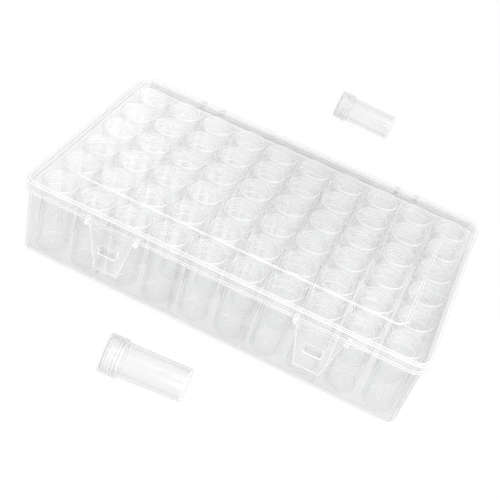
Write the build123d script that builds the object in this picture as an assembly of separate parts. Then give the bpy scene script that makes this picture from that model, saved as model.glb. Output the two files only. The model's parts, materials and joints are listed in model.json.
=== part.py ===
from build123d import *
import os
from math import asin, atan, degrees, radians

# A flat clear case with a hinged lid and two clasps, sixty screw-capped jars standing in it in a grid,
# and two more of the jars lying beside it. Millimetres, +Z up, the front faces -Y.
# The origin is on the surface that the case stands on, at the middle of the case's underside.

# Jars
jar_length = 53.0
jar_wall = 1.1
jar_floor = 1.4
base_diameter = 21.2
body_flare = 0.8
neck_step = 1.6
cap_clearance = 0.3
cap_height = 12.0
cap_wall = 1.1
cap_top = 1.2
cap_edge_chamfer = 0.7
mouth_clearance = 0.1
neck_rise = 0.6
jar_foot_chamfer = 0.8

# Round shapes are drawn with flat sides, fewest on the jars that repeat in the case
case_jar_sides = 10
loose_jar_sides = 24
pin_sides = 16

# Jar grid
columns = 10
rows = 6
jar_gap = 1.7
edge_margin = 5.0

# Case walls
case_wall = 1.8
floor_thickness = 2.0
headroom = 2.2
wall_draft = 1.3
foot_chamfer = 2.0
rim_gap = 0.3
join_overlap = 0.5

# Flange that the lid's skirt comes down to
flange_thickness = 1.6
flange_setback = 0.3

# Fins that keep the outer jars in place
fin_thickness = 1.0
fin_depth = 13.0
fin_height = 48.0
fin_columns = (2, 4, 6, 8)
fin_row = 3

# Lid
lid_wall = 1.8
lid_gap = 0.4
skirt_depth = 8.0
lid_corner = 10.0
lid_edge_chamfer = 1.5
panel_margin_x = 21.5
panel_margin_y = 25.5
panel_corner = 8.0
panel_rise = 0.8

# Hinge at the back
hinge_span = 160.0
knuckle_length = 12.0
knuckle_radius = 2.8
trunnion_radius = 1.5
running_clearance = 0.08
lug_thickness = 3.0
lug_radius = 3.0
lug_drop = 9.0
hinge_gap = 0.3
lid_opening = 110.0
stop_length = 5.5
stop_thickness = 2.6

# Clasps
clasp_span = 142.0
clasp_top_width = 32.0
clasp_tip_width = 17.0
clasp_length = 34.0
clasp_thickness = 1.8
clasp_tilt = 5.0
barrel_radius = 1.7
pivot_radius = 1.0
pivot_length = 1.6
pivot_drop = 0.8
ear_thickness = 2.0
ear_radius = 2.1
ear_rise = 4.0
lip_radius = 9.0
lip_angle = 32.0
tip_corner = 3.0
window_width = 13.0
window_height = 6.0
window_drop = 17.0
catch_gap = 0.4
catch_reach = 0.9

# The two jars that lie free: middle of each along X, its distance from the case, and its turn about the vertical
front_jar_x = -12.6
front_jar_distance = 53.0
front_jar_turn = 7.0
rear_jar_x = 13.7
rear_jar_distance = 160.2
rear_jar_turn = 0.0

# Sizes that follow from the ones above
body_diameter = base_diameter + body_flare
neck_diameter = body_diameter - neck_step
cap_diameter = body_diameter + 2 * (cap_clearance + cap_wall)
jar_pitch = cap_diameter + jar_gap
lid_length = columns * jar_pitch + 2 * edge_margin
lid_width = rows * jar_pitch + 2 * edge_margin
lid_top = floor_thickness + jar_length + headroom + lid_wall
skirt_foot = lid_top - skirt_depth
rim_top = lid_top - lid_wall - rim_gap
rim_inset = lid_wall + lid_gap
fin_span = 2 * (rim_inset + case_wall + fin_depth)
jar_taper = degrees(atan((body_diameter - base_diameter) / 2 / (jar_length - cap_height)))
hinge_y = lid_width / 2 + lug_radius + hinge_gap
hinge_z = skirt_foot
clasp_y = -lid_width / 2 - barrel_radius - hinge_gap
clasp_z = skirt_foot - pivot_drop


def round_face(diameter, sides):
    """A disc with this many straight sides, one of them square to -Y."""
    return Rot(0, 0, 180 / sides + 90) * RegularPolygon(diameter / 2, sides)


def rounded_block(length, width, radius, bottom, top):
    """An upright block with rounded corners between two heights."""
    return Pos(0, 0, bottom) * extrude(RectangleRounded(length, width, radius), top - bottom)


def drafted_block(inset, bottom, top):
    """The case's outline, this far inside the lid's outer face at the rim, narrowing towards the foot."""
    faces = []
    for height in (bottom, top):
        narrowed = inset + wall_draft * (1 - height / rim_top)
        outline = RectangleRounded(lid_length - 2 * narrowed, lid_width - 2 * narrowed, lid_corner - narrowed)
        faces.append(Pos(0, 0, height) * outline)
    return loft(faces, ruled=True)


def wall_inset(height):
    """How far the case wall's outer face lies inside the lid's outer face at a height."""
    return rim_inset + wall_draft * (1 - height / rim_top)


def side_profile(face, middle_x, thickness):
    """A profile drawn in Y and Z, given a thickness along X about the middle."""
    return Pos(middle_x, 0, 0) * extrude(Plane.YZ * face, thickness / 2, both=True)


def pin_outline(radius, y, z):
    """The outline of a pin, barrel or eye, no point of it beyond the radius."""
    return Pos(y, z) * RegularPolygon(radius, pin_sides)


def bore_outline(radius, y, z):
    """The outline of a bore, no point of it within the radius."""
    return Pos(y, z) * RegularPolygon(radius, pin_sides, major_radius=False)


def hinge_places():
    """Middles of the two hinges along X."""
    return (-hinge_span / 2, hinge_span / 2)


def hinge_lug(middle_x):
    """A lug on the case's back wall, with the bore for a trunnion and the heel that stops the lid."""
    wall_y = lid_width / 2 - wall_inset(hinge_z - lug_drop) - case_wall / 2
    eye = pin_outline(lug_radius, hinge_y, hinge_z)
    flange_foot = skirt_foot - rim_gap - flange_thickness
    web = Polygon(
        (wall_y, hinge_z - lug_drop),
        (lid_width / 2, hinge_z - lug_drop + lug_radius),
        (hinge_y + lug_radius, hinge_z),
        (hinge_y, hinge_z),
        (hinge_y - lug_radius, hinge_z - hinge_gap),
        (wall_y, flange_foot),
        align=None,
    )
    heel = Pos(hinge_y, hinge_z) * Rot(0, 0, 90 - lid_opening) * Polygon(
        (0, lug_radius),
        (stop_length, lug_radius),
        (stop_length, lug_radius - stop_thickness),
        (0, -lug_radius / 2),
        align=None,
    )
    bore = bore_outline(trunnion_radius + running_clearance, hinge_y, hinge_z)
    return side_profile(eye + web + heel - bore, middle_x, lug_thickness)


def catch(middle_x):
    """The sloped tooth that a clasp's window drops over."""
    foot = clasp_z - window_drop - window_height / 2 + catch_gap
    top = foot + window_height - 2 * catch_gap
    wall_y = -lid_width / 2 + wall_inset(foot) + case_wall / 2
    front_y = clasp_y - catch_reach
    tooth = Polygon(
        (wall_y, foot),
        (front_y, foot),
        (front_y, foot + catch_reach),
        (-lid_width / 2 + wall_inset(top), top),
        (wall_y, top),
        align=None,
    )
    return side_profile(tooth, middle_x, window_width - 2 * catch_gap)


def fins():
    """Thin upright fins that end inside the walls, each between two jars."""
    made = []
    bottom = floor_thickness - join_overlap
    height = fin_height - bottom
    middle_z = bottom + height / 2
    for column in fin_columns:
        x = (column - columns / 2) * jar_pitch
        for side in (-1, 1):
            made.append(Pos(x, side * lid_width / 2, middle_z) * Box(fin_thickness, fin_span, height))
    y = (fin_row - rows / 2) * jar_pitch
    for side in (-1, 1):
        made.append(Pos(side * lid_length / 2, y, middle_z) * Box(fin_span, fin_thickness, height))
    inside_walls = drafted_block(rim_inset + case_wall - join_overlap, 0, rim_top)
    return [fin & inside_walls for fin in made]


def base_tray():
    """The case's lower half: walls, floor, flange, fins, catches and hinge lugs."""
    shell = drafted_block(rim_inset, 0, rim_top)
    shell = chamfer(shell.faces().sort_by(Axis.Z)[0].edges(), foot_chamfer)
    hollow = drafted_block(rim_inset + case_wall, floor_thickness, rim_top)
    flange_top = skirt_foot - rim_gap
    flange = rounded_block(
        lid_length - 2 * flange_setback,
        lid_width - 2 * flange_setback,
        lid_corner - flange_setback,
        flange_top - flange_thickness,
        flange_top,
    )
    tray = shell + flange - hollow
    for fin in fins():
        tray += fin
    for middle in (-clasp_span / 2, clasp_span / 2):
        tray += catch(middle)
    half_gap = knuckle_length / 2 + hinge_gap + lug_thickness / 2
    for middle in hinge_places():
        for side in (-1, 1):
            tray += hinge_lug(middle + side * half_gap)
    return tray


def lid_knuckle(middle_x):
    """The lid's half of a hinge: a barrel on a short web, with a trunnion at each end."""
    barrel = pin_outline(knuckle_radius, hinge_y, hinge_z)
    web = Polygon(
        (lid_width / 2 - join_overlap, hinge_z),
        (hinge_y, hinge_z),
        (hinge_y, hinge_z + knuckle_radius),
        (lid_width / 2 - join_overlap, hinge_z + knuckle_radius + lug_radius),
        align=None,
    )
    knuckle = side_profile(barrel + web, middle_x, knuckle_length)
    pin_length = knuckle_length + 2 * (hinge_gap + lug_thickness - join_overlap)
    trunnion = pin_outline(trunnion_radius, hinge_y, hinge_z)
    return knuckle + side_profile(trunnion, middle_x, pin_length)


def clasp_ear(middle_x):
    """An ear on the lid's front skirt, with the hole for a clasp's pivot."""
    eye = pin_outline(ear_radius, clasp_y, clasp_z)
    arm = Polygon(
        (clasp_y - ear_radius, clasp_z),
        (clasp_y, clasp_z),
        (-lid_width / 2, skirt_foot),
        (-lid_width / 2 + join_overlap, skirt_foot),
        (-lid_width / 2 + join_overlap, skirt_foot + ear_rise),
        align=None,
    )
    hole = bore_outline(pivot_radius + running_clearance, clasp_y, clasp_z)
    return side_profile(eye + arm - hole, middle_x, ear_thickness)


def lid_cover():
    """The lid: top, raised panel, skirt, hinge knuckles and clasp ears."""
    outer = rounded_block(lid_length, lid_width, lid_corner, skirt_foot, lid_top)
    outer = chamfer(outer.faces().sort_by(Axis.Z)[-1].edges(), lid_edge_chamfer)
    panel_length = lid_length - 2 * panel_margin_x
    panel_width = lid_width - 2 * panel_margin_y
    outer += rounded_block(panel_length, panel_width, panel_corner, lid_top - lid_wall, lid_top + panel_rise)
    hollow = rounded_block(
        lid_length - 2 * lid_wall,
        lid_width - 2 * lid_wall,
        lid_corner - lid_wall,
        skirt_foot,
        lid_top - lid_wall,
    )
    hollow += rounded_block(
        panel_length - 2 * lid_wall,
        panel_width - 2 * lid_wall,
        panel_corner - lid_wall,
        skirt_foot,
        lid_top - lid_wall + panel_rise,
    )
    lid = outer - hollow
    for middle in hinge_places():
        lid += lid_knuckle(middle)
    half_gap = clasp_top_width / 2 + hinge_gap + ear_thickness / 2
    for middle in (-clasp_span / 2, clasp_span / 2):
        for side in (-1, 1):
            lid += clasp_ear(middle + side * half_gap)
    return lid


def clasp(middle_x):
    """A tapered flap that hangs from two pivots, with a window for the catch and a lip to lift it by."""
    lip_length = lip_radius * radians(lip_angle)
    straight = clasp_length - lip_length
    path = Line((0, 0), (0, -straight))
    path += JernArc(path @ 1, path % 1, lip_radius, -lip_angle)
    strip = Pos(clasp_y, clasp_z) * Rot(0, 0, clasp_tilt) * trace(path, clasp_thickness)
    flap = side_profile(strip, 0, clasp_top_width)
    half_top = clasp_top_width / 2
    half_tip = clasp_tip_width / 2
    outline = Polygon(
        (-half_top, barrel_radius),
        (half_top, barrel_radius),
        (half_tip, -clasp_length - barrel_radius),
        (-half_tip, -clasp_length - barrel_radius),
        align=None,
    )
    outline = fillet(outline.vertices().sort_by(Axis.Y)[:2], tip_corner)
    front = Plane((0, clasp_y, clasp_z), x_dir=(1, 0, 0), z_dir=(0, -1, 0))
    flap &= extrude(front * outline, clasp_length, both=True)
    flap += side_profile(pin_outline(barrel_radius, clasp_y, clasp_z), 0, clasp_top_width)
    window = front * (Pos(0, -window_drop) * Rectangle(window_width, window_height))
    flap -= extrude(window, clasp_length, both=True)
    pivots = clasp_top_width + 2 * (hinge_gap + pivot_length)
    flap += side_profile(pin_outline(pivot_radius, clasp_y, clasp_z), 0, pivots)
    return Pos(middle_x, 0, 0) * flap


def case_jar_tube():
    """A jar's tube as it stands in the case, its foot at the origin, at its mean diameter."""
    mouth = jar_length - cap_top
    diameter = (base_diameter + body_diameter) / 2
    body = extrude(round_face(diameter, case_jar_sides), mouth)
    bore = round_face(diameter - 2 * jar_wall, case_jar_sides)
    return body - Pos(0, 0, jar_floor) * extrude(bore, mouth - jar_floor)


def case_jar_cap():
    """The cap of a jar in the case, at the height where it closes the tube."""
    bottom = jar_length - cap_height
    shell = Pos(0, 0, bottom) * extrude(round_face(cap_diameter, case_jar_sides), cap_height)
    hollow = round_face(cap_diameter - 2 * cap_wall, case_jar_sides)
    return shell - Pos(0, 0, bottom) * extrude(hollow, cap_height - cap_top)


def loose_jar_tube():
    """A jar's tube with its neck and chamfered foot, standing on the origin."""
    mouth = jar_length - cap_top - mouth_clearance
    shoulder = jar_length - cap_height - neck_rise
    body = extrude(round_face(base_diameter, loose_jar_sides), shoulder, taper=-jar_taper)
    body = chamfer(body.faces().sort_by(Axis.Z)[0].edges(), jar_foot_chamfer)
    neck = Pos(0, 0, shoulder) * extrude(round_face(neck_diameter, loose_jar_sides), mouth - shoulder)
    bore = round_face(neck_diameter - 2 * jar_wall, loose_jar_sides)
    return body + neck - Pos(0, 0, jar_floor) * extrude(bore, mouth - jar_floor)


def loose_jar_cap():
    """A cap with a chamfered top edge, at the height where it closes the tube."""
    bottom = jar_length - cap_height
    shell = Pos(0, 0, bottom) * extrude(round_face(cap_diameter, loose_jar_sides), cap_height)
    shell = chamfer(shell.faces().sort_by(Axis.Z)[-1].edges(), cap_edge_chamfer)
    hollow = round_face(cap_diameter - 2 * cap_wall, loose_jar_sides)
    return shell - Pos(0, 0, bottom) * extrude(hollow, cap_height - cap_top)


def lay_down(jar_part, place, turn):
    """Lays a piece of a loose jar on its side, cap towards -X, resting on cap rim and foot."""
    foot_radius = base_diameter / 2
    rise = cap_diameter / 2 - foot_radius
    lean = degrees(asin(rise / (jar_length - cap_height)))
    laid = Rot(0, lean - 90, 0) * jar_part
    return Pos(place[0], place[1], 0) * Rot(0, 0, turn) * laid


def column_of(jar_part, column):
    """One piece repeated for every row of a column, as separate solids."""
    x = (column - (columns - 1) / 2) * jar_pitch
    placed = []
    for row in range(rows):
        y = (row - (rows - 1) / 2) * jar_pitch
        placed.append(Pos(x, y, floor_thickness) * jar_part)
    return Compound(children=placed)


def loose_jar(place, turn):
    """Tube and cap of a loose jar, laid on the ground."""
    middle = Pos(0, 0, -jar_length / 2)
    laid = [lay_down(middle * piece, place, turn) for piece in (loose_jar_tube(), loose_jar_cap())]
    lowest = min(piece.bounding_box().min.Z for piece in laid)
    return [Pos(0, 0, -lowest) * piece for piece in laid]


def write(name, shape):
    """Writes one named piece as a STEP file."""
    export_step(shape, os.path.join("parts", name + ".step"))


def main():
    """Builds and writes every piece."""
    os.makedirs("parts", exist_ok=True)
    write("base_tray", base_tray())
    write("lid_cover", lid_cover())
    write("clasp_left", clasp(-clasp_span / 2))
    write("clasp_right", clasp(clasp_span / 2))
    tube = case_jar_tube()
    cap = case_jar_cap()
    for column in range(columns):
        write(f"jar_tubes_column_{column + 1:02d}", column_of(tube, column))
        write(f"jar_caps_column_{column + 1:02d}", column_of(cap, column))
    for name, place, turn in (
        ("front", (front_jar_x, -lid_width / 2 - front_jar_distance), front_jar_turn),
        ("rear", (rear_jar_x, lid_width / 2 + rear_jar_distance), rear_jar_turn),
    ):
        laid_tube, laid_cap = loose_jar(place, turn)
        write(f"loose_{name}_tube", laid_tube)
        write(f"loose_{name}_cap", laid_cap)


main()
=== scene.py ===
"""A clear case of screw-capped bead jars, with two more jars beside it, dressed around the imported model.

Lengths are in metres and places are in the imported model's axes: +Z is up and the case's front faces -Y.
"""

from __future__ import annotations

import json
import logging
import math
from dataclasses import dataclass
from enum import Enum, IntEnum

import bmesh
import bpy
from mathutils import Matrix, Vector

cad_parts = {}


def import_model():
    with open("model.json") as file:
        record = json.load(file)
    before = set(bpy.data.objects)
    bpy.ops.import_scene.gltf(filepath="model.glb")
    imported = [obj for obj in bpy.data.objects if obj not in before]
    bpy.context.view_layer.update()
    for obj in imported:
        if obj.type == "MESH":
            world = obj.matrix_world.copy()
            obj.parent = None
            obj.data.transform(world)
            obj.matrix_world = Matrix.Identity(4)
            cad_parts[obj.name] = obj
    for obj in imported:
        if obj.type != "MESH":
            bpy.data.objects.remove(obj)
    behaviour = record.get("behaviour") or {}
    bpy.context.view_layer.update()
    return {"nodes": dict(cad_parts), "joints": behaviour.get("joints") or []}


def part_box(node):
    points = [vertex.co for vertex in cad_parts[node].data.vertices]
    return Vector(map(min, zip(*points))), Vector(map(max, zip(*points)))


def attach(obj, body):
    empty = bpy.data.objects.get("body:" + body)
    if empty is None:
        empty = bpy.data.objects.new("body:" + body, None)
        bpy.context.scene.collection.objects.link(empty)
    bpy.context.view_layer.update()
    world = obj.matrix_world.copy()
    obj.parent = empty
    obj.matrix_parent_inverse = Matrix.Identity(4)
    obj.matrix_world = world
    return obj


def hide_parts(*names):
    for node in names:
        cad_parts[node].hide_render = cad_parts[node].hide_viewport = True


MM = 0.001
COLUMNS = 10
ROWS = 6
PITCH = 26.5 * MM
WELD_WITHIN = 0.001 * MM
SHARP_JAR_ANGLE = 35.0
DOWN = -90.0
DOWN_AND_OUT = -45.0
OUT = 0.0
UP_AND_OUT = 60.0
UP = 90.0
NOISE_MIDDLE = 0.5
EVEN_BLEND = 0.5
WHITE = (1.0, 1.0, 1.0, 1.0)
log = logging.getLogger("bead_box")

Point = tuple[float, float]
Place = tuple[float, float, float]
Colour = tuple[float, float, float]


class Slot(Enum):
    """The record's material slots."""

    CASE = "clear_case"
    JAR = "clear_jar"


class MixSocket(IntEnum):
    """Where a Mix node keeps what it uses for colours."""

    FACTOR = 0
    FIRST = 6
    SECOND = 7
    RESULT = 2


# Shader maths


class Value:
    """A number that changes over a surface, written with Python's operators."""

    def __init__(self, graph: ShaderGraph, socket: bpy.types.NodeSocket) -> None:
        """Keeps the graph, and the output that gives the number."""
        self.graph = graph
        self.socket = socket

    def _math(self, operation: str, other: Value | float) -> Value:
        """Adds one Math node that starts from this.

        Args:
            operation: the node's operation.
            other: its second input.

        Returns:
            The node's result.
        """
        node = self.graph.node("ShaderNodeMath", {"operation": operation}, {0: self, 1: other})
        return Value(self.graph, node.outputs[0])

    def __add__(self, other: Value | float) -> Value:
        """This plus another."""
        return self._math("ADD", other)

    def __sub__(self, other: Value | float) -> Value:
        """This minus another."""
        return self._math("SUBTRACT", other)

    def __mul__(self, other: Value | float) -> Value:
        """This times another."""
        return self._math("MULTIPLY", other)

    def __pow__(self, power: float) -> Value:
        """This to a power."""
        return self._math("POWER", power)

    def capped(self) -> Value:
        """This, or 1 where it is more."""
        return self._math("MINIMUM", 1.0)


class ShaderGraph:
    """The nodes of one material or of the world."""

    def __init__(self, owner: bpy.types.Material | bpy.types.World) -> None:
        """Clears the owner's nodes.

        Args:
            owner: what gets the new ones.
        """
        owner.use_nodes = True
        self.owner = owner
        self.tree = owner.node_tree
        self.tree.nodes.clear()

    def node(self, kind: str, settings: dict | None = None, inputs: dict | None = None) -> bpy.types.Node:
        """Adds one node.

        Args:
            kind: the node's type.
            settings: its own settings, which are set first.
            inputs: a number, a colour, a socket or a Value for each named or numbered input.

        Returns:
            The node.
        """
        made = self.tree.nodes.new(kind)
        for name, setting in (settings or {}).items():
            setattr(made, name, setting)
        for name, given in (inputs or {}).items():
            given = given.socket if isinstance(given, Value) else given
            if isinstance(given, bpy.types.NodeSocket):
                self.tree.links.new(given, made.inputs[name])
            else:
                made.inputs[name].default_value = given
        return made

    def value(self, kind: str, output: str | int, inputs: dict) -> Value:
        """Adds one node with its usual settings, and takes one of its outputs."""
        return Value(self, self.node(kind, {}, inputs).outputs[output])

    def mix(self, share: Value | float, first: bpy.types.Node, second: bpy.types.Node) -> bpy.types.Node:
        """Mixes two shaders.

        Args:
            share: how much of the second shows.
            first: the shader node that shows at a share of 0.
            second: the shader node that shows at a share of 1.

        Returns:
            The Mix Shader node.
        """
        return self.node("ShaderNodeMixShader", {}, {0: share, 1: first.outputs[0], 2: second.outputs[0]})

    def blend(self, share: Value | float, first: Colour, second: Colour) -> Value:
        """Blends two colours.

        Args:
            share: how much of the second shows.
            first: the colour at a share of 0.
            second: the colour at a share of 1.

        Returns:
            The colour.
        """
        inputs = {MixSocket.FACTOR: share, MixSocket.FIRST: (*first, 1), MixSocket.SECOND: (*second, 1)}
        node = self.node("ShaderNodeMix", {"data_type": "RGBA"}, inputs)
        return Value(self, node.outputs[MixSocket.RESULT])

    def noise(self, scale: float, detail: float) -> Value:
        """Noise in the object's own coordinates.

        Args:
            scale: lumps in a metre.
            detail: how many finer layers it has.

        Returns:
            The noise, about 0.5 on average.
        """
        place = self.node("ShaderNodeTexCoord").outputs["Object"]
        return self.value("ShaderNodeTexNoise", 0, {"Vector": place, "Scale": scale, "Detail": detail})

    def close(self, shader: bpy.types.Node) -> None:
        """Sends a shader to the output.

        Args:
            shader: the shader node.
        """
        is_world = isinstance(self.owner, bpy.types.World)
        kind = "ShaderNodeOutputWorld" if is_world else "ShaderNodeOutputMaterial"
        self.node(kind, {}, {"Surface": shader.outputs[0]})


# Finishes


@dataclass(frozen=True)
class ClearPlastic:
    """Clear moulded plastic: it lets light through, mirrors more at a slant, and is faintly milky, with
    painted shade as a darker outline where it is seen at a slant.
    """

    name: str
    milk: float
    milk_colour: Colour
    # The painted_outline fields paint shade: more milk, in a darker grey, where the surface is seen at a
    # slant, drawn as dark outlines.
    painted_outline_milk: float = 0.0
    painted_outline_colour: Colour = (0.5, 0.505, 0.51)
    painted_outline_power: float = 3.0
    flow_scale: float = 30.0
    flow_detail: float = 3.0
    flow_share: float = 0.3
    ripple_scale: float = 120.0
    ripple_detail: float = 2.0
    ripple_depth: float = 0.04 * MM
    gloss_roughness: float = 0.06
    milk_roughness: float = 0.35
    milk_ior: float = 1.49
    head_on_mirror: float = 0.02
    mirror_power: float = 5.0

    def material(self) -> bpy.types.Material:
        """Builds the material.

        Returns:
            The material.
        """
        made = bpy.data.materials.new(self.name)
        graph = ShaderGraph(made)
        slant = graph.value("ShaderNodeLayerWeight", "Facing", {"Blend": EVEN_BLEND})
        mirror = slant**self.mirror_power * (1 - self.head_on_mirror) + self.head_on_mirror
        # Painted shade: darker and milkier towards the slant, standing in for the dark lines that refraction
        # draws along outlines.
        painted_outline = slant**self.painted_outline_power
        flow = (graph.noise(self.flow_scale, self.flow_detail) - NOISE_MIDDLE) * (2 * self.flow_share) + 1
        share = (flow * self.milk + painted_outline * self.painted_outline_milk).capped()
        colour = graph.blend(painted_outline, self.milk_colour, self.painted_outline_colour)
        ripple = graph.noise(self.ripple_scale, self.ripple_detail)
        bump = graph.node("ShaderNodeBump", {}, {"Distance": self.ripple_depth, "Height": ripple}).outputs[0]
        clear = graph.node("ShaderNodeBsdfTransparent", {}, {"Color": WHITE})
        gloss_inputs = {"Color": WHITE, "Roughness": self.gloss_roughness, "Normal": bump}
        gloss = graph.node("ShaderNodeBsdfGlossy", {}, gloss_inputs)
        milky = graph.node(
            "ShaderNodeBsdfPrincipled",
            {},
            {"Base Color": colour, "Roughness": self.milk_roughness, "IOR": self.milk_ior, "Normal": bump},
        )
        graph.close(graph.mix(share, graph.mix(mirror, clear, gloss), milky))
        return made


@dataclass(frozen=True)
class StudioFloor:
    """A pale floor that shows white to the camera and in gloss, and keeps a soft shadow."""

    colour: Colour
    white_share: float

    def material(self) -> bpy.types.Material:
        """Builds the material.

        Returns:
            The material.
        """
        made = bpy.data.materials.new("studio_floor")
        graph = ShaderGraph(made)
        seen = seen_rays(graph) * self.white_share
        paint = graph.node("ShaderNodeBsdfDiffuse", {}, {"Color": (*self.colour, 1)})
        white = graph.node("ShaderNodeEmission", {}, {"Color": WHITE, "Strength": 1.0})
        graph.close(graph.mix(seen, paint, white))
        return made


def seen_rays(graph: ShaderGraph) -> Value:
    """1 for rays from the camera and for those that gloss or glass sends on, and 0 for the rest.

    Args:
        graph: the graph to add the nodes to.

    Returns:
        The share.
    """
    path = graph.node("ShaderNodeLightPath").outputs
    camera, glossy, through = (
        Value(graph, path[name]) for name in ("Is Camera Ray", "Is Glossy Ray", "Is Transmission Ray")
    )
    return (camera + glossy + through).capped()


CASE_CLEAR = ClearPlastic(
    name="case_clear",
    milk=0.03,
    milk_colour=(0.66, 0.665, 0.67),
    painted_outline_milk=0.1,
    flow_scale=14.0,
)
# Painted highlight: a near-white milky finish for the case's rounded convex edges, standing in for the lines
# of light they catch.
CASE_EDGE_PAINTED_HIGHLIGHT = ClearPlastic(
    name="case_edge_painted_highlight",
    milk=0.75,
    milk_colour=(0.95, 0.95, 0.95),
    painted_outline_milk=0.1,
    flow_scale=90.0,
    flow_share=0.1,
)
CASE_WALL = ClearPlastic(
    name="case_wall",
    milk=0.1,
    milk_colour=(0.55, 0.555, 0.56),
    painted_outline_milk=0.1,
    flow_scale=20.0,
)
CASE_SKIRT = ClearPlastic(
    name="case_skirt",
    milk=0.12,
    milk_colour=(0.80, 0.80, 0.805),
    painted_outline_milk=0.1,
    flow_scale=20.0,
    head_on_mirror=0.03,
)
# Painted shade: the tray's back wall in a milkier, darker grey than its other walls.
CASE_BACK_PAINTED_SHADE = ClearPlastic(
    name="case_back_painted_shade",
    milk=0.26,
    milk_colour=(0.48, 0.485, 0.49),
    painted_outline_milk=0.1,
    flow_scale=20.0,
)
# Painted shadow: a dense milky grey on the tray floor's upper side, standing in for the shaded ground seen
# through the case.
CASE_FLOOR_PAINTED_SHADOW = ClearPlastic(
    name="case_floor_painted_shadow",
    milk=0.8,
    milk_colour=(0.90, 0.905, 0.91),
    flow_scale=20.0,
    flow_share=0.08,
)
JAR_CLEAR = ClearPlastic(
    name="jar_clear",
    milk=0.04,
    milk_colour=(0.84, 0.845, 0.85),
    painted_outline_milk=0.3,
    painted_outline_colour=(0.42, 0.425, 0.43),
    flow_scale=45.0,
    head_on_mirror=0.015,
)
# Painted highlight: a near-white milky finish for the jars' thread crests, rims and rounds, standing in for
# the lines of light they catch.
JAR_EDGE_PAINTED_HIGHLIGHT = ClearPlastic(
    name="jar_edge_painted_highlight",
    milk=0.5,
    milk_colour=(0.95, 0.95, 0.95),
    flow_scale=200.0,
    flow_share=0.2,
)
LOOSE_CLEAR = ClearPlastic(
    name="loose_jar_clear",
    milk=0.11,
    milk_colour=(0.6, 0.605, 0.61),
    painted_outline_milk=0.32,
    painted_outline_colour=(0.48, 0.485, 0.49),
    flow_scale=45.0,
)
# The frosted gate mark, drawn near white so that it also paints the highlight that its small bump catches.
GATE_MARK_AND_HIGHLIGHT = ClearPlastic(
    name="gate_mark_and_highlight",
    milk=0.9,
    milk_colour=(0.98, 0.98, 0.98),
    flow_scale=300.0,
    flow_share=0.1,
    gloss_roughness=0.2,
)
STUDIO_FLOOR = StudioFloor(colour=(0.9, 0.9, 0.9), white_share=0.85)


# Mesh helpers


class Part(Enum):
    """Which finish a face takes, in the order of its piece's material slots."""

    CLEAR = 0
    # The painted highlight on rounded edges and thread crests.
    EDGE_PAINTED_HIGHLIGHT = 1
    EXTRA = 2
    # The painted shade on the tray's back wall.
    BACK_PAINTED_SHADE = 3


class Profile:
    """An outline in radius and height that is turned about Z, each stretch with its own finish."""

    def __init__(self, radius: float, height: float) -> None:
        """Starts the outline at a radius and a height."""
        self.points = [(radius, height)]
        self.parts: list[Part] = []

    def line(self, radius: float, height: float, part: Part = Part.CLEAR) -> Profile:
        """Goes straight to a point.

        Args:
            radius: the point's radius.
            height: its height.
            part: the stretch's finish.

        Returns:
            The outline itself, to go on from.
        """
        self.points.append((radius, height))
        self.parts.append(part)
        return self

    def arc(
        self, centre: Point, radius: float, angles: Point, steps: int, part: Part = Part.CLEAR
    ) -> Profile:
        """Goes along an arc, with a straight stretch to where it starts.

        Args:
            centre: radius and height of the arc's centre.
            radius: the arc's own radius.
            angles: where it starts and ends, in degrees from the outward direction.
            steps: how many stretches it has.
            part: its finish.

        Returns:
            The outline itself, to go on from.
        """
        for step in range(steps + 1):
            angle = math.radians(angles[0] + (angles[1] - angles[0]) * step / steps)
            place = (centre[0] + radius * math.cos(angle), centre[1] + radius * math.sin(angle))
            self.line(*place, part if step else Part.CLEAR)
        return self

    def mesh(self, name: str, steps: int) -> bpy.types.Mesh:
        """Turns the outline into a closed mesh.

        Args:
            name: the mesh's name.
            steps: how many steps the full turn takes.

        Returns:
            The mesh.
        """
        shape = bmesh.new()
        for first, second, part in zip(self.points, self.points[1:], self.parts):
            old_faces = len(shape.faces)
            ends = [shape.verts.new((radius, 0, height)) for radius, height in (first, second)]
            stretch = shape.edges.new(ends)
            bmesh.ops.spin(
                shape,
                geom=[*ends, stretch],
                axis=(0, 0, 1),
                cent=(0, 0, 0),
                angle=2 * math.pi,
                steps=steps,
                use_merge=True,
            )
            shape.faces.ensure_lookup_table()
            for face in shape.faces[old_faces:]:
                face.material_index = part.value
        bmesh.ops.remove_doubles(shape, verts=shape.verts, dist=WELD_WITHIN)
        bmesh.ops.recalc_face_normals(shape, faces=shape.faces)
        mesh = bpy.data.meshes.new(name)
        shape.to_mesh(mesh)
        shape.free()
        return mesh


def piece(name: str, mesh: bpy.types.Mesh, finishes: list[bpy.types.Material]) -> bpy.types.Object:
    """Makes a mesh an object at the origin.

    Args:
        name: the object's name.
        mesh: its mesh, in place.
        finishes: a material for each of its slots.

    Returns:
        The object.
    """
    for finish in finishes:
        mesh.materials.append(finish)
    made = bpy.data.objects.new(name, mesh)
    bpy.context.scene.collection.objects.link(made)
    return made


def settle(made: bpy.types.Object, body: str, node: str) -> None:
    """Rides a piece on its body in place of a node, and reports it.

    Args:
        made: the piece.
        body: the body that it moves with.
        node: the node that it stands for.
    """
    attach(made, body)
    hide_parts(node)
    log.info("%s on %s, %d faces", made.name, body, len(made.data.polygons))


# Jars


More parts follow.
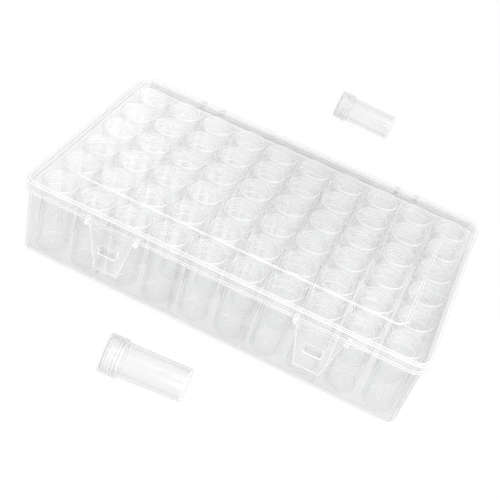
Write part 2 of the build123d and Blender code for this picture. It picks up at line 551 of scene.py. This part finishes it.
@dataclass
class ScrewJar:
    """One jar: a tube with a threaded neck, and its screw cap, standing on the origin."""

    length: float = 53 * MM
    foot_radius: float = 10.5 * MM
    body_radius: float = 10.9 * MM
    neck_radius: float = 10.0 * MM
    bore_radius: float = 9.0 * MM
    cap_radius: float = 12.28 * MM
    cap_bore_radius: float = 11.3 * MM
    cap_height: float = 12 * MM
    cap_top: float = 1.2 * MM
    floor: float = 1.4 * MM
    foot_round: float = 0.9 * MM
    foot_recess: float = 0.5 * MM
    foot_ring: float = 1.4 * MM
    floor_round: float = 0.5 * MM
    shoulder_drop: float = 0.6 * MM
    mouth_clearance: float = 0.1 * MM
    small_round: float = 0.3 * MM
    cap_round: float = 0.9 * MM
    dish_radius: float = 10.3 * MM
    dish_depth: float = 0.25 * MM
    cap_turns: int = 5
    neck_turns: int = 2
    turns_below_neck_thread: float = 2.5
    thread_start: float = 1.1 * MM
    thread_pitch: float = 2.1 * MM
    thread_height: float = 0.5 * MM
    neck_thread_height: float = 0.4 * MM
    crest_share: float = 0.3
    foot_share: float = 0.6
    gate_radius: float = 1.1 * MM
    gate_height: float = 0.3 * MM
    steps: int = 40
    gate_steps: int = 16
    round_steps: int = 2
    floor_steps: int = 4

    def thread(self, profile: Profile, radius: float, lowest: float, rise: float, turns: int) -> None:
        """Adds the ridges of a thread, as rings from the bottom up, each crest with a painted highlight.

        Args:
            profile: the outline that gets them.
            radius: the wall's radius.
            lowest: the height of the lowest ridge.
            rise: how far the ridges stand out from a neck, or below 0 how far in from a cap.
            turns: how many ridges there are.
        """
        half_foot = self.thread_pitch * self.foot_share / 2
        half_crest = self.thread_pitch * self.crest_share / 2
        top = radius + rise
        for turn in range(turns):
            height = lowest + turn * self.thread_pitch
            profile.line(radius, height - half_foot).line(top, height - half_crest)
            profile.line(top, height + half_crest, Part.EDGE_PAINTED_HIGHLIGHT).line(radius, height + half_foot)

    def tube(self) -> bpy.types.Mesh:
        """The tube, from the middle of its underside round to the middle of its floor.

        Returns:
            The mesh.
        """
        shoulder = self.length - self.cap_height - self.shoulder_drop
        mouth = self.length - self.cap_top - self.mouth_clearance
        small = self.small_round
        ring = self.foot_radius - self.foot_round - self.foot_ring
        corner = (self.foot_radius - self.foot_round, self.foot_round)
        inner = (self.bore_radius - self.floor_round, self.floor + self.floor_round)
        profile = Profile(0, self.foot_recess)
        profile.line(ring - self.foot_recess, self.foot_recess).line(ring, 0)
        profile.arc(corner, self.foot_round, (DOWN, DOWN_AND_OUT), self.round_steps)
        # Painted highlight on the outer half of the foot round, the round at the top of the body and the
        # round at the floor's edge.
        profile.arc(corner, self.foot_round, (DOWN_AND_OUT, OUT), self.round_steps, Part.EDGE_PAINTED_HIGHLIGHT)
        top = (self.body_radius - small, shoulder - small)
        profile.arc(top, small, (OUT, UP), self.round_steps, Part.EDGE_PAINTED_HIGHLIGHT)
        profile.line(self.neck_radius, shoulder)
        cap_thread = shoulder + self.shoulder_drop + self.thread_start
        lowest = cap_thread + self.thread_pitch * self.turns_below_neck_thread
        self.thread(profile, self.neck_radius, lowest, self.neck_thread_height, self.neck_turns)
        profile.arc((self.neck_radius - small, mouth - small), small, (OUT, UP), self.round_steps)
        profile.line(self.bore_radius, mouth)
        profile.arc(inner, self.floor_round, (OUT, DOWN), self.floor_steps, Part.EDGE_PAINTED_HIGHLIGHT)
        return profile.line(0, self.floor).mesh("jar_tube", self.steps)

    def gate(self) -> bpy.types.Mesh:
        """The small boss over the moulding gate, at the middle of the floor, in the frosted finish that also
        paints its highlight.

        Returns:
            The mesh.
        """
        top = self.floor + self.gate_height
        low = self.floor - self.gate_height
        profile = Profile(0, low).line(self.gate_radius, low, Part.EXTRA)
        profile.line(self.gate_radius * self.foot_share, top, Part.EXTRA)
        return profile.line(0, top, Part.EXTRA).mesh("gate_mark_and_highlight", self.gate_steps)

    def cap(self) -> bpy.types.Mesh:
        """The screw cap, at its height on the tube.

        Returns:
            The mesh.
        """
        bottom = self.length - self.cap_height
        under = self.length - self.cap_top
        dish = self.length - self.dish_depth
        small = self.small_round
        shoulder = (self.cap_radius - self.cap_round, self.length - self.cap_round)
        profile = Profile(0, dish).line(self.dish_radius - self.dish_depth, dish)
        # Painted highlight on the dish's edge, the outer half of the shoulder round, the foot round and the
        # lower rim.
        profile.line(self.dish_radius, self.length, Part.EDGE_PAINTED_HIGHLIGHT)
        profile.arc(shoulder, self.cap_round, (UP, UP_AND_OUT), 1)
        profile.arc(shoulder, self.cap_round, (UP_AND_OUT, OUT), self.round_steps, Part.EDGE_PAINTED_HIGHLIGHT)
        foot = (self.cap_radius - small, bottom + small)
        profile.arc(foot, small, (OUT, DOWN), self.round_steps, Part.EDGE_PAINTED_HIGHLIGHT)
        profile.line(self.cap_bore_radius, bottom, Part.EDGE_PAINTED_HIGHLIGHT)
        lowest = bottom + self.thread_start
        self.thread(profile, self.cap_bore_radius, lowest, -self.thread_height, self.cap_turns)
        profile.line(self.cap_bore_radius, under - small).line(self.cap_bore_radius - small, under)
        return profile.line(0, under).mesh("jar_cap", self.steps)


def placed(name: str, meshes: list[bpy.types.Mesh], moves: list[Matrix]) -> bpy.types.Mesh:
    """Joins copies of meshes, moved to their places, and shades them smooth but for sharp edges.

    Args:
        name: the new mesh's name.
        meshes: the meshes to copy.
        moves: where each set of copies goes.

    Returns:
        The joined mesh.
    """
    joined = bmesh.new()
    for move in moves:
        old_verts = len(joined.verts)
        for mesh in meshes:
            joined.from_mesh(mesh)
        joined.verts.ensure_lookup_table()
        bmesh.ops.transform(joined, matrix=move, verts=joined.verts[old_verts:])
    mesh = bpy.data.meshes.new(name)
    joined.to_mesh(mesh)
    joined.free()
    mesh.shade_smooth()
    mesh.set_sharp_from_angle(angle=math.radians(SHARP_JAR_ANGLE))
    return mesh


@dataclass
class JarMaker:
    """Makes the tubes and caps of jars, wherever they stand or lie."""

    jar: ScrewJar
    finishes: list[bpy.types.Material]

    def __post_init__(self) -> None:
        """Makes the two shapes that every piece repeats."""
        self.tube = [self.jar.tube(), self.jar.gate()]
        self.cap = [self.jar.cap()]

    def make(
        self, name: str, body: str, node: str, meshes: list[bpy.types.Mesh], moves: list[Matrix]
    ) -> None:
        """Makes one piece out of copies of some meshes.

        Args:
            name: the piece's name.
            body: the body that it moves with.
            node: the node that it stands for.
            meshes: what it is made of.
            moves: where each copy goes.
        """
        made = piece(name, placed(name, meshes, moves), self.finishes)
        made.visible_shadow = False
        settle(made, body, node)

    def column(self, number: int, rows: int, pitch: float) -> None:
        """Makes a column of jars in the case, which stands where its node does.

        Args:
            number: the column's number, from 1.
            rows: how many jars it has.
            pitch: the distance between them.
        """
        tubes = f"jar_tubes_column_{number:02d}"
        low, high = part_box(tubes)
        middle = (low + high) / 2
        steps = [(row - (rows - 1) / 2) * pitch for row in range(rows)]
        moves = [Matrix.Translation((middle.x, middle.y + step, low.z)) for step in steps]
        self.make(f"tubes_{number:02d}", "case", tubes, self.tube, moves)
        self.make(f"caps_{number:02d}", "case", f"jar_caps_column_{number:02d}", self.cap, moves)

    def loose(self, side: str, joints: list[dict]) -> None:
        """Makes a jar that lies by itself, placed by the joint that its cap turns on.

        Args:
            side: front or rear.
            joints: the record's joints.
        """
        joint = next(j for j in joints if j["name"] == f"{side}_cap_turn")
        axis = Vector(joint["axis"]).normalized()
        foot = Vector(joint["pos_m"]) - axis * self.jar.length
        lean = Vector((0, 0, 1)).rotation_difference(axis).to_matrix().to_4x4()
        moves = [Matrix.Translation(foot) @ lean]
        self.make(f"{side}_tube", f"{side}_jar", f"loose_{side}_tube", self.tube, moves)
        self.make(f"{side}_cap", f"{side}_jar_cap", f"loose_{side}_cap", self.cap, moves)


# Case


@dataclass
class Moulding:
    """A moulded piece of the case: its node's own shape, with the sharp edges rounded."""

    name: str
    node: str
    body: str
    finishes: list[bpy.types.Material]
    edge_round: float = 0.3 * MM
    merge_within: float = 0.15 * MM
    sharp_from: float = 24.0
    flat_within: float = 0.5
    segments: int = 2
    casts_shadow: bool = False

    def rounded(self, source: bpy.types.Mesh) -> bmesh.types.BMesh:
        """A merged copy of a mesh, with its sharp edges rounded and the outer ones given a painted
        highlight.

        Args:
            source: the node's mesh, which stays as it is.

        Returns:
            The shape.
        """
        shape = bmesh.new()
        shape.from_mesh(source)
        bmesh.ops.remove_doubles(shape, verts=shape.verts, dist=self.merge_within)
        flat = math.radians(self.flat_within)
        bmesh.ops.dissolve_limit(shape, angle_limit=flat, verts=shape.verts, edges=shape.edges)
        turned = math.radians(self.sharp_from)
        edges = [e for e in shape.edges if len(e.link_faces) == 2 and e.calc_face_angle() > turned]
        rounds = bmesh.ops.bevel(
            shape,
            geom=edges,
            offset=self.edge_round,
            affect="EDGES",
            segments=self.segments,
            profile=0.5,
            material=-1,
        )
        for face in shape.faces:
            face.material_index = self.part(face).value
        shape.normal_update()
        # Convex rounds take the painted highlight: a near-white finish for the lines of light on the edges.
        for face in rounds["faces"]:
            if sum(edge.calc_face_angle_signed(0.0) for edge in face.edges) > 0:
                face.material_index = Part.EDGE_PAINTED_HIGHLIGHT.value
        return shape

    def part(self, face: bmesh.types.BMFace) -> Part:
        """Which finish a flat face takes, which is the first one on a plain moulding."""
        return Part.CLEAR

    def build(self, nodes: dict[str, bpy.types.Object]) -> None:
        """Makes the piece, each vertex shaded by its largest faces so that flat faces look flat.

        Args:
            nodes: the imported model's nodes.
        """
        shape = self.rounded(nodes[self.node].data)
        mesh = bpy.data.meshes.new(self.name)
        shape.to_mesh(mesh)
        shape.free()
        mesh.shade_smooth()
        leans = [Vector((0, 0, 0)) for _ in mesh.vertices]
        for face in mesh.polygons:
            for vertex in face.vertices:
                leans[vertex] += face.normal * face.area
        mesh.normals_split_custom_set_from_vertices([lean.normalized() for lean in leans])
        made = piece(self.name, mesh, self.finishes)
        made.visible_shadow = self.casts_shadow
        settle(made, self.body, self.node)


@dataclass
class Tray(Moulding):
    """The case's lower half, whose floor's upper side is milky grey as a painted shadow and whose back wall
    is greyer as painted shade.
    """

    edge_round: float = 0.35 * MM
    floor_below: float = 2.5 * MM
    back_from: float = 78 * MM
    facing: float = 0.9
    casts_shadow: bool = True

    def part(self, face: bmesh.types.BMFace) -> Part:
        """Which finish a flat face takes.

        Args:
            face: the face.

        Returns:
            The third finish, a painted shadow, for the floor's upper side, the fourth, a painted shade, for
            the back wall, and otherwise the first.
        """
        middle = face.calc_center_median()
        if face.normal.z > self.facing and middle.z < self.floor_below:
            return Part.EXTRA
        # The back wall's faces take the painted shade.
        if abs(face.normal.y) > self.facing and middle.y > self.back_from:
            return Part.BACK_PAINTED_SHADE
        return Part.CLEAR


@dataclass
class Lid(Moulding):
    """The lid, whose skirt is a little hazier than its top."""

    upright_within: float = 0.1

    def part(self, face: bmesh.types.BMFace) -> Part:
        """Which finish a flat face takes, with the third one for the skirt."""
        return Part.EXTRA if abs(face.normal.z) < self.upright_within else Part.CLEAR


# Studio


@dataclass(frozen=True)
class Softbox:
    """A rectangular lamp that looks at a point."""

    name: str
    place: Place
    width: float
    height: float
    power: float
    aim: Place = (0.0, 0.0, 0.0)
    spread: float = 180.0

    def build(self) -> None:
        """Adds the lamp."""
        data = bpy.data.lights.new(self.name, "AREA")
        data.shape = "RECTANGLE"
        data.size = self.width
        data.size_y = self.height
        data.energy = self.power
        data.spread = math.radians(self.spread)
        lamp = bpy.data.objects.new(self.name, data)
        toward = Vector(self.aim) - Vector(self.place)
        turned = toward.to_track_quat("-Z", "Y").to_matrix().to_4x4()
        lamp.matrix_world = Matrix.Translation(self.place) @ turned
        bpy.context.scene.collection.objects.link(lamp)


SOFTBOXES = (
    Softbox(name="overhead", place=(0.3, -0.3, 1.6), width=0.9, height=0.9, power=4.3),
    Softbox(name="front", place=(0.8, -1.35, 0.75), width=1.2, height=1.0, power=11.0),
    Softbox(name="right", place=(1.5, 0.2, 0.8), width=1.0, height=0.8, power=3.0),
    Softbox(
        name="rear_left",
        place=(-0.65, 1.22, 0.95),
        width=1.5,
        height=1.2,
        power=0.11,
        aim=(-0.15, 0.0, 0.05),
        spread=24.0,
    ),
)


@dataclass
class Studio:
    """The floor, the world, the lamps and the camera."""

    azimuth: float = 10.75
    elevation: float = 39.06
    roll: float = 18.19
    distance: float = 0.6166
    target: Place = (0.0021, -0.0192, 0.03)
    focal_pixels: float = 915.3
    frame_pixels: float = 500.0
    sensor: float = 36.0
    nearest: float = 0.01
    floor_size: float = 12.0
    floor_drop: float = 0.2 * MM
    daylight: float = 0.9
    transparent_bounces: int = 128
    other_bounces: int = 10

    def floor(self) -> None:
        """Adds the floor, just under what stands on it."""
        shape = bmesh.new()
        bmesh.ops.create_grid(shape, x_segments=1, y_segments=1, size=self.floor_size / 2)
        bmesh.ops.translate(shape, verts=shape.verts, vec=(0, 0, -self.floor_drop))
        mesh = bpy.data.meshes.new("floor")
        shape.to_mesh(mesh)
        shape.free()
        made = piece("floor", mesh, [STUDIO_FLOOR.material()])

    def world(self) -> None:
        """Adds the daylight, with the white that the camera and the gloss see."""
        made = bpy.data.worlds.new("daylight")
        bpy.context.scene.world = made
        graph = ShaderGraph(made)
        light = graph.node("ShaderNodeBackground", {}, {"Color": WHITE, "Strength": self.daylight})
        white = graph.node("ShaderNodeBackground", {}, {"Color": WHITE, "Strength": 1.0})
        graph.close(graph.mix(seen_rays(graph), light, white))

    def camera(self) -> None:
        """Adds the camera at the photographed angle."""
        azimuth, elevation, roll = (math.radians(a) for a in (self.azimuth, self.elevation, self.roll))
        flat = math.cos(elevation)
        back = Vector((math.sin(azimuth) * flat, -math.cos(azimuth) * flat, math.sin(elevation)))
        right = Vector((math.cos(azimuth), math.sin(azimuth), 0))
        up = back.cross(right)
        across = math.cos(roll) * right + math.sin(roll) * up
        above = math.cos(roll) * up - math.sin(roll) * right
        data = bpy.data.cameras.new("camera")
        data.sensor_width = self.sensor
        data.sensor_fit = "HORIZONTAL"
        data.lens = self.focal_pixels / self.frame_pixels * self.sensor
        data.clip_start = self.nearest
        made = bpy.data.objects.new("camera", data)
        turned = Matrix((across, above, back)).transposed().to_4x4()
        made.matrix_world = Matrix.Translation(Vector(self.target) + back * self.distance) @ turned
        bpy.context.scene.collection.objects.link(made)
        bpy.context.scene.camera = made

    def build(self) -> None:
        """Sets the whole studio up."""
        scene = bpy.context.scene
        scene.view_settings.view_transform = "Standard"
        scene.cycles.transparent_max_bounces = self.transparent_bounces
        scene.cycles.max_bounces = self.other_bounces
        self.floor()
        self.world()
        for softbox in SOFTBOXES:
            softbox.build()
        self.camera()


def main() -> None:
    """Builds the object and its studio."""
    logging.basicConfig(level=logging.INFO, format="%(name)s: %(message)s")
    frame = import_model()
    finishes = (CASE_CLEAR, CASE_EDGE_PAINTED_HIGHLIGHT, CASE_WALL, CASE_SKIRT)
    # edge is the painted-highlight finish for the rounded edges.
    clear, edge, wall, skirt = (finish.material() for finish in finishes)
    for moulding in (
        Tray("tray", "base_tray", "case", [wall, edge, CASE_FLOOR_PAINTED_SHADOW.material(), CASE_BACK_PAINTED_SHADE.material()]),
        Lid("lid", "lid_cover", "lid", [clear, edge, skirt]),
        Moulding("left_clasp", "clasp_left", "clasp_left", [skirt, edge]),
        Moulding("right_clasp", "clasp_right", "clasp_right", [skirt, edge]),
    ):
        moulding.build(frame["nodes"])
    # gate is the frosted gate finish, near white, which also paints the highlight its bump catches.
    jar_clear, jar_edge_painted_highlight, gate, loose_clear = (
        finish.material() for finish in (JAR_CLEAR, JAR_EDGE_PAINTED_HIGHLIGHT, GATE_MARK_AND_HIGHLIGHT, LOOSE_CLEAR)
    )
    case_jars = JarMaker(ScrewJar(), [jar_clear, jar_edge_painted_highlight, gate])
    for column in range(COLUMNS):
        case_jars.column(column + 1, ROWS, PITCH)
    loose_jars = JarMaker(ScrewJar(), [loose_clear, jar_edge_painted_highlight, gate])
    for side in ("front", "rear"):
        loose_jars.loose(side, frame["joints"])
    Studio().build()


if __name__ == "__main__":
    main()
